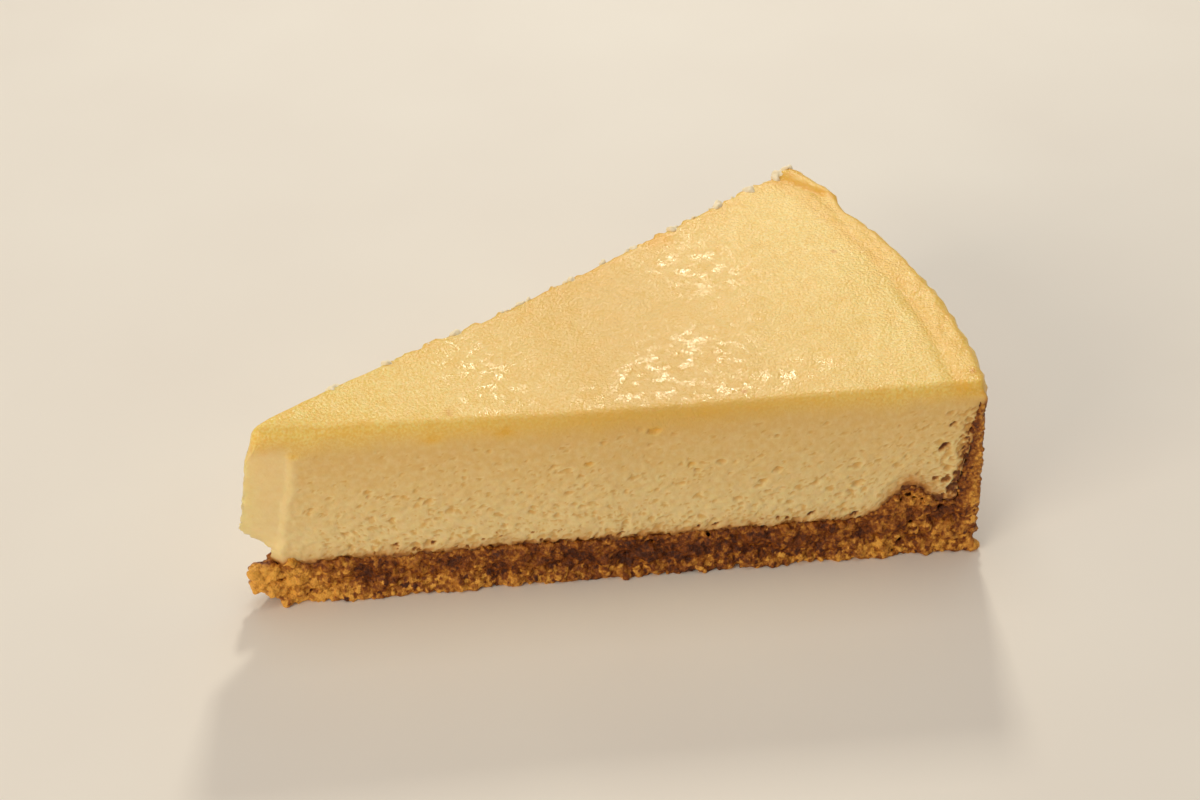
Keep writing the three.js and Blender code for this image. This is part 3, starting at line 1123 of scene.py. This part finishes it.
        # A broad darker band across the middle of the top.
        put_values(mesh, "darker_middle", bell(r - self.darker_middle_at, self.darker_middle_reach))
        wet = sum(bell(np.hypot((r - a) / c, (at.y - b) / d), 1.0) for a, b, c, d in self.wet)
        put_values(mesh, "wet", 1.2 * wet * (1 + 0.5 * noise(flat, 4.0, 47)))

    @staticmethod
    def _ragged(turn: Array, plain: Array) -> Array:
        """How unevenly the point is torn.

        Args:
            turn: Angle from the bisector, in radians.
            plain: Height in the plain block.

        Returns:
            How far each place of the point is moved along the slice.
        """
        flat = stacked(turn * 2.5, plain)
        ragged = 0.4 * noise(flat, 1.3, 23) + 0.36 * noise(flat, 0.6, 24)
        return ragged * (1 - rise(plain, 26, 31)) * (0.5 + 0.5 * bell(plain - 14, 6))

    @staticmethod
    def _curd(along: Array, up: Array, bottom: Array, calm: Array) -> Array:
        """Relief of a cut face between its pores: curdled below, dragged smooth above.

        Args:
            along: Distance from the wedge's point.
            up: Height.
            bottom: Height of the filling's underside.
            calm: Share of the full relief, lower at the top and the point.

        Returns:
            How far each place is sunk into the face.
        """
        tilt = math.radians(24)
        with_grain = (along * math.cos(tilt) + up * math.sin(tilt)) / 2.1
        slant = stacked(with_grain, up * math.cos(tilt) - along * math.sin(tilt))
        rough = 0.3 + 0.7 * (1 - rise(up, 14, 28)) + 0.5 * bell(up - bottom, 5.0)
        curdled = 0.11 * noise(slant, 0.75, 31) + 0.06 * noise(stacked(along, up), 0.55, 32)
        dragged = 0.06 * noise(stacked(along / 7, up), 0.45, 33)
        wave = 0.18 * noise(stacked(along, up), 11.0, 34)
        return curdled * rough * (0.3 + 0.7 * calm) + dragged * (0.4 + 0.6 * calm) + wave


@dataclass
class TornBits:
    """Bits of filling that the knife dragged over the top edge of the back cut."""

    wedge: Wedge
    seed: int = 5
    clusters: tuple[tuple[float, float], ...] = (
        (18.7, 0.8),
        (29.8, 0.9),
        (43.5, 0.8),
        (57.0, 0.6),
        (68.6, 0.9),
        (76.0, 0.7),
        (83.0, 0.8),
        (92.0, 0.9),
        (103.0, 1.0),
        (110.5, 1.0),
        (117.5, 1.2),
        (120.0, 0.8),
    )
    strays: int = 18
    bits_in_cluster: int = 7
    bits_in_stray: int = 4
    scatter: float = 0.6
    voxel: float = 0.17

    def build(self) -> Mesh:
        """Builds the bits.

        Returns:
            One mesh in millimetres, with the values its finish reads.
        """
        w = self.wedge
        rng = np.random.default_rng(self.seed)
        stray_at = rng.uniform(14, w.radius - 3, self.strays)
        middle = np.concatenate([[a for a, _ in self.clusters], stray_at])
        big = np.concatenate([[b for _, b in self.clusters], rng.uniform(0.3, 0.5, self.strays)])
        in_cluster = np.arange(middle.size) < len(self.clusters)
        count = np.where(in_cluster, self.bits_in_cluster, self.bits_in_stray)
        big = np.repeat(big, count)
        along = np.repeat(middle, count) + rng.normal(0, self.scatter, count.sum()) * big
        sizes = rng.uniform(0.5, 0.95, along.size) * big
        back_angle = np.full(along.size, math.degrees(w.opening / 2))
        top = w.filling_top(along, w.half_width(along), back_angle)
        up = top - rng.uniform(0.15, 0.95, along.size) * big
        inward = rng.uniform(-0.25, 0.65, along.size) * big
        fused = joined_lumps(w.on_cut(Side.BACK, along, up, inward), sizes, rng, 3)
        fused = modified(fused, "REMESH", mode="VOXEL", voxel_size=self.voxel)
        zeros = np.zeros(len(fused.vertices))
        for name in ("pore", "soak", "deep", "darker_middle", "wet", "skin"):
            put_values(fused, name, zeros)
        put_values(fused, "torn", np.ones(len(fused.vertices)))
        return fused


@dataclass
class CrustBody:
    """The pressed body of the crust: base and wall in one, the wall's outside granular."""

    wedge: Wedge
    recess: float = 0.9
    voxel: float = 0.5
    grain: float = 1.25
    fine_grain: float = 0.75
    lowest: float = 0.05
    nose_lift: float = 1.7
    base_cells: tuple[int, int, int] = (80, 6, 30)
    wall_cells: tuple[int, int, int] = (2, 30, 60)

    def build(self) -> Mesh:
        """Builds the body.

        Returns:
            Its mesh in millimetres, with each place's tone, painted shade included.
        """
        mesh = modified(self._rough(), "REMESH", mode="VOXEL", voxel_size=self.voxel)
        places = coordinates(mesh)
        w = self.wedge
        r = np.hypot(places[:, 0], places[:, 1])
        turn = np.arctan2(places[:, 1], places[:, 0])
        distance, value = grains(places, self.grain, 61)
        fine, fine_value = grains(places, self.fine_grain, 67)
        outside = rise(r - w.rim_radius(np.degrees(turn)), -1.3, -0.6)
        lump = (0.30 * (0.55 - distance) + 0.14 * (0.5 - fine)) * outside
        holes = 0.35 * rise(value, 0.72, 0.86) * outside * rise(0.5 - distance, 0, 0.3)
        places[:, 0] += (lump - holes) * np.cos(turn)
        places[:, 1] += (lump - holes) * np.sin(turn)
        put_coordinates(mesh, places)
        # Painted shade: darker between grains and in the holes, a little darker underneath, and
        # near the darkest on the inner faces, which are hidden or show only between the cut crumbs.
        tone = 0.5 + 0.18 * value + 0.12 * fine_value - 0.3 * rise(distance, 0.45, 0.85)
        tone = tone + 0.16 * rise(places[:, 2], 4, 28) - 0.5 * (holes > 0.1)
        inner = 1 - outside
        under = 1 - rise(places[:, 2], 0.1, 0.5)
        put_values(mesh, "tone", mix(tone, 0.12 + 0.1 * value, inner * (1 - under)) - 0.05 * under)
        return mesh

    def _rough(self) -> Mesh:
        """Puts the base and the wall together.

        Returns:
            One mesh of two closed blocks that pass through each other.
        """
        both = bmesh.new()
        for part in (self._base(), self._wall()):
            both.from_mesh(part)
            bpy.data.meshes.remove(part)
        mesh = bpy.data.meshes.new("body")
        both.to_mesh(mesh)
        both.free()
        return mesh

    def _base(self) -> Mesh:
        """The pressed base.

        Returns:
            Its block, the underside lifted at the point.
        """
        w = self.wedge

        def bend(u: Array, across: Array, k: Array, rim: Array) -> tuple[Array, Array]:
            """Bends the base.

            Args:
                u: Share outwards.
                across: Share sideways, from -1 to 1.
                k: Share upwards.
                rim: The rim's radius.

            Returns:
                Radius and height.
            """
            r = mix(3.2, rim - 0.6, u)
            nose = (1 - rise(r, 4.2, 6.2)) * self.nose_lift * (1 - k)
            return r, mix(self.lowest, w.base_top(r, across * w.half_width(r)), k) + nose

        return self._bent_block(self.base_cells, bend)

    def _wall(self) -> Mesh:
        """The wall that climbs the rim.

        Returns:
            Its block, the top ragged.
        """
        w = self.wedge

        def bend(u: Array, across: Array, k: Array, rim: Array) -> tuple[Array, Array]:
            """Bends the wall.

            Args:
                u: Share outwards.
                across: Share sideways, from -1 to 1.
                k: Share upwards.
                rim: The rim's radius.

            Returns:
                Radius and height.
            """
            arc = across * w.half_width(w.radius)
            z = mix(self.lowest, w.wall_top + 0.8 * noise(stacked(arc, 0.0), 4.0, 41) - 0.3, k)
            return mix(rim - w.wall_thickness(z, arc), rim, u), z

        return self._bent_block(self.wall_cells, bend)

    def _bent_block(
        self,
        cells: tuple[int, int, int],
        bend: Callable[[Array, Array, Array, Array], tuple[Array, Array]],
    ) -> Mesh:
        """A swept block bent to the wedge between its two cuts.

        Args:
            cells: Number of cells outwards, upwards and across.
            bend: Gives radius and height from the shares outwards, across and upwards and the
                rim's radius.

        Returns:
            The block's mesh, in millimetres.
        """
        w = self.wedge
        columns, rows, steps = cells
        block = swept_block(columns, rows, steps)
        mesh = bpy.data.meshes.new("part")
        block.to_mesh(mesh)
        block.free()
        u, s, k = (coordinates(mesh) / (columns, steps, rows)).T
        across = s * 2 - 1
        rim = w.rim_radius(np.degrees(np.arcsin(across * math.sin(w.opening / 2)))) - 0.35
        r, z = bend(u, across, k, rim)
        y = across * np.maximum(w.half_width(r) - self.recess, 0.7)
        put_coordinates(mesh, stacked(np.sqrt(np.maximum(r**2 - y**2, 0)), y, z))
        return mesh


@dataclass
class CutCrumbs:
    """The crumbs that a cut laid open, fused into one rough surface on the base and the wall."""

    wedge: Wedge
    side: Side
    base_count: int = 6200
    wall_count: int = 900
    nose_count: int = 420
    seam_count: int = 520
    voxel: float = 0.24
    crumb: float = 0.36
    nose_crumb: float = 0.5

    def build(self) -> Mesh:
        """Builds the crumbs.

        Returns:
            One mesh in millimetres, with each crumb's tone: painted shade where it is sunk, painted
            highlight where it stands out.
        """
        rng = np.random.default_rng(40 + self.side.value)
        places, sizes, tones = (np.concatenate(parts) for parts in zip(*self._regions(rng)))
        lumps = joined_lumps(places, sizes, rng, 2)
        mesh = modified(lumps, "REMESH", mode="VOXEL", voxel_size=self.voxel)
        found = coordinates(mesh)
        tree = KDTree(len(places))
        for n, place in enumerate(places):
            tree.insert(place, n)
        tree.balance()
        nearest = np.array([tree.find(place)[1] for place in found])
        a = self.side.value * self.wedge.opening / 2
        inward = self.side.value * (found[:, 0] * math.sin(a) - found[:, 1] * math.cos(a))
        tone = tones[nearest] + 0.12 * noise(found, 0.8, 81)
        # Painted shade deeper behind the cut, painted highlight where a crumb stands out of it.
        tone = tone - 0.5 * rise(inward, 0.1, 1.0) + 0.15 * rise(-inward, 0.0, 0.5)
        grain = 0.06 * noise(found, 0.5, 83)
        outwards = np.array([[0.0, self.side.value, 0.0]])
        put_coordinates(mesh, found + grain[:, None] * outwards)
        put_values(mesh, "tone", tone)
        return mesh

    def _regions(self, rng: np.random.Generator) -> list[Crumbs]:
        """All the crumbs of the cut.

        Args:
            rng: Source of the draws.

        Returns:
            The base, the wall's edge, the seam and, at the front, the nose under the point.
        """
        regions = [self._base(rng), self._wall(rng), self._seam(rng)]
        if self.side is Side.FRONT:
            regions.append(self._nose(rng))
        return regions

    def _set_in(self, rng: np.random.Generator, along: Array, up: Array, sizes: Array) -> Array:
        """Places crumbs beside the cut, some standing out of it, some sunk, by crags.

        Args:
            rng: Source of the draws.
            along: Distance from the wedge's point along the cut.
            up: Height.
            sizes: Each crumb's radius.

        Returns:
            Each crumb's middle.
        """
        flat = stacked(along, up)
        crag = 0.4 * noise(flat, 3.6, 91 + self.side.value) + 0.35 * noise(flat, 1.7, 95)
        spilled = (1.1 - 0.4 * rise(along, 40, 80)) * (1 - rise(up, 0.0, 3.2))
        inward = sizes * rng.uniform(0.2, 1.5, sizes.size) - 0.15 + crag - spilled
        return self.wedge.on_cut(self.side, along, up, inward)

    def _base(self, rng: np.random.Generator) -> Crumbs:
        """The base's crumbs, one in five of them coarse, darkest in a band at two thirds up.

        Args:
            rng: Source of the draws.

        Returns:
            Middles, radii and tones.
        """
        w = self.wedge
        n = self.base_count
        along = rng.uniform(4.0, w.radius - 0.3, n)
        top = w.base_top(along, self.side.value * w.half_width(along))
        share = rng.uniform(0, 1, n)
        coarse = rng.uniform(0, 1, n) < 0.2
        large = rng.uniform(0.6, 1.2, n)
        small = np.clip(rng.lognormal(math.log(self.crumb), 0.34, n), 0.22, 0.8)
        sizes = np.where(coarse, large, small)
        up = np.clip(mix(0.1, top + 0.1, share), sizes * 0.5, top + 0.2 - sizes * 0.25)
        flat = stacked(along, up)
        band = bell(share - 0.64, 0.24)
        own = 0.12 + 0.12 * (1 - rise(share, 0.3, 0.6))
        tone = 0.4 + own * rng.normal(size=n) - 0.17 * band - 0.1 * rise(share, 0.6, 0.95)
        tone = tone + 0.04 * (1 - rise(share, 0.15, 0.42)) + 0.36 * (1 - rise(along, 5, 20))
        tone = tone + 0.22 * noise(flat / (1.8, 1, 1), 1.7, 101) + 0.2 * coarse
        tone = tone - 0.2 * bell(along - 70, 18) + 0.06 * rise(along, 88, 100)
        gold = bell(along - w.mound_at, 4.0) * rise(up, 8.5, 11.0)
        sizes = sizes * (1 - 0.35 * gold)
        return self._set_in(rng, along, up, sizes), sizes, mix(tone, 0.74, 0.7 * gold)

    def _seam(self, rng: np.random.Generator) -> Crumbs:
        """The small crumbs pushed a little way into the filling's lower edge.

        Args:
            rng: Source of the draws.

        Returns:
            Middles, radii and tones.
        """
        w = self.wedge
        n = self.seam_count
        along = rng.uniform(7.0, w.radius - 3.5, n)
        sizes = rng.uniform(0.22, 0.42, n)
        seam = w.base_top(along, self.side.value * w.half_width(along))
        up = seam + rng.normal(0.1, 0.22, n)
        inward = rng.uniform(0.02, 0.3, n)
        places = w.on_cut(self.side, along, up, inward)
        return places, sizes, 0.4 + 0.12 * rng.normal(size=n)

    def _wall(self, rng: np.random.Generator) -> Crumbs:
        """The crumbs on the wall's cut edge, darker towards the filling.

        Args:
            rng: Source of the draws.

        Returns:
            Middles, radii and tones.
        """
        w = self.wedge
        n = self.wall_count
        up = rng.uniform(6.0, w.wall_top - 0.2, n)
        corner = self.side.value * w.half_width(np.full(n, w.radius))
        thick = w.wall_thickness(up, corner)
        share = rng.uniform(0, 1, n)
        sizes = np.clip(rng.lognormal(math.log(self.crumb), 0.3, n), 0.2, 0.75)
        along = w.radius - 0.1 - 0.5 * rise(up, 18, 31) - share * thick
        tone = 0.62 + 0.15 * rng.normal(size=n) - 0.42 * rise(share, 0.35, 0.85)
        return self._set_in(rng, along, up, sizes), sizes, tone

    def _nose(self, rng: np.random.Generator) -> Crumbs:
        """The broken nose under the point, of coarser and paler crumbs.

        Args:
            rng: Source of the draws.

        Returns:
            Middles, radii and tones.
        """
        n = self.nose_count
        along = rng.uniform(-0.3, 7.0, n)
        width = 1.3 + 0.24 * along
        sizes = np.clip(rng.lognormal(math.log(self.nose_crumb), 0.35, n), 0.28, 1.1)
        foot = mix(2.7, 0.5, rise(along, 1.0, 6.0))
        crest = 7.4 + 1.4 * rise(along, 4.0, 5.5)
        up = mix(foot, crest, rng.uniform(0, 1, n))
        places = stacked(along, rng.uniform(-1, 1, n) * width, up)
        return places, sizes, 0.92 + 0.12 * rng.normal(size=n) - 0.3 * (up < 2.2)


@dataclass(frozen=True)
class SoftLight:
    """A square soft light, in metres and watts."""

    name: str
    spot: tuple[float, float, float]
    aim: tuple[float, float, float]
    size: float
    power: float
    colour: str

    def hang(self) -> None:
        """Adds the light to the scene."""
        data = bpy.data.lights.new(self.name, "AREA")
        data.size = self.size
        data.energy = self.power
        data.color = linear(self.colour)[:3]
        light = bpy.data.objects.new(self.name, data)
        light.location = self.spot
        towards = Vector(self.aim) - Vector(self.spot)
        light.rotation_euler = towards.to_track_quat("-Z", "Y").to_euler()
        bpy.context.scene.collection.objects.link(light)


@dataclass
class Studio:
    """Plain pale floor, soft lights and the camera at the photograph's angle.

    The window stands where the top mirrors it to the camera, and so gives the glints.
    """

    focal: float = 73.85
    spot: tuple[float, float, float] = (-125.4, -305.54, 266.79)
    turn: tuple[float, float, float] = (53.541, 0.978, -23.233)
    floor_colour: str = "#efe9e2"
    floor_pale: str = "#f2ede6"
    floor_half: float = 2.5
    room_colour: str = "#fff9f1"
    room_strength: float = 0.28
    lights: tuple[SoftLight, ...] = (
        SoftLight("window", (0.30, 0.60, 0.50), (0.015, -0.005, 0.03), 0.1, 2.35, "#fff9e6"),
        SoftLight("sky", (0.05, 0.15, 0.90), (0.0, 0.0, 0.02), 0.6, 2.1, "#fffaf2"),
        SoftLight("lamp", (-0.75, -0.32, 0.36), (0.0, 0.0, 0.02), 0.5, 3.35, "#ffefd6"),
    )

    def build(self) -> None:
        """Sets floor, lights and camera."""
        bpy.context.scene.view_settings.view_transform = "Standard"
        self._camera()
        self._floor()
        for light in self.lights:
            light.hang()
        world = bpy.data.worlds.new("room")
        world.use_nodes = True
        ground = world.node_tree.nodes["Background"]
        ground.inputs["Color"].default_value = linear(self.room_colour)
        ground.inputs["Strength"].default_value = self.room_strength
        bpy.context.scene.world = world

    def _camera(self) -> None:
        """The camera, as fitted to the photograph."""
        data = bpy.data.cameras.new("camera")
        data.sensor_width = 36.0
        data.lens = self.focal
        data.clip_start, data.clip_end = 0.01, 10.0
        camera = bpy.data.objects.new("camera", data)
        camera.location = Vector(self.spot) * MM
        camera.rotation_euler = Euler([math.radians(a) for a in self.turn])
        bpy.context.scene.collection.objects.link(camera)
        bpy.context.scene.camera = camera

    def _floor(self) -> None:
        """A wide pale floor under the slice."""
        bm = bmesh.new()
        bmesh.ops.create_grid(bm, x_segments=1, y_segments=1, size=self.floor_half)
        mesh = bpy.data.meshes.new("floor")
        bm.to_mesh(mesh)
        bm.free()
        p = Palette("floor_paint")
        mottle = p.ramp(p.clouds(0.02, 2.0), 0.3, 0.7)
        colour = p.blend(mottle, linear(self.floor_colour), linear(self.floor_pale))
        mesh.materials.append(p.finish(Base_Color=colour, Roughness=0.75))
        floor = bpy.data.objects.new("floor", mesh)
        bpy.context.scene.collection.objects.link(floor)


@dataclass
class Slice:
    """The whole slice, piece by piece."""

    wedge: Wedge = field(default_factory=Wedge)

    def build(self) -> None:
        """Builds, dresses and places every piece."""
        curd = BakedCurd().build("baked_curd")
        torn = BakedCurd(torn="#ffefcd", inside_light=0.05).build("torn_curd")
        crumb = ButteredCrumb().build()
        w = self.wedge
        point = Vector((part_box("filling")[1].x - (w.radius + w.bulge) * MM, 0.0, 0.0))
        Piece("filling_body", "filling", curd).place(Filling(w, Pores()).build(), point)
        Piece("torn_bits", "filling", torn).place(TornBits(w).build(), point)
        Piece("crust_body", "crust", crumb).place(CrustBody(w).build(), point)
        for side in Side:
            cut = CutCrumbs(w, side).build()
            Piece(f"crust_{side.name.lower()}_cut", "crust", crumb).place(cut, point)


def main() -> None:
    """Builds the studio and the slice."""
    logging.basicConfig(level=logging.INFO, format="%(name)s %(message)s")
    Studio().build()
    Slice().build()


if __name__ == "__main__":
    main()
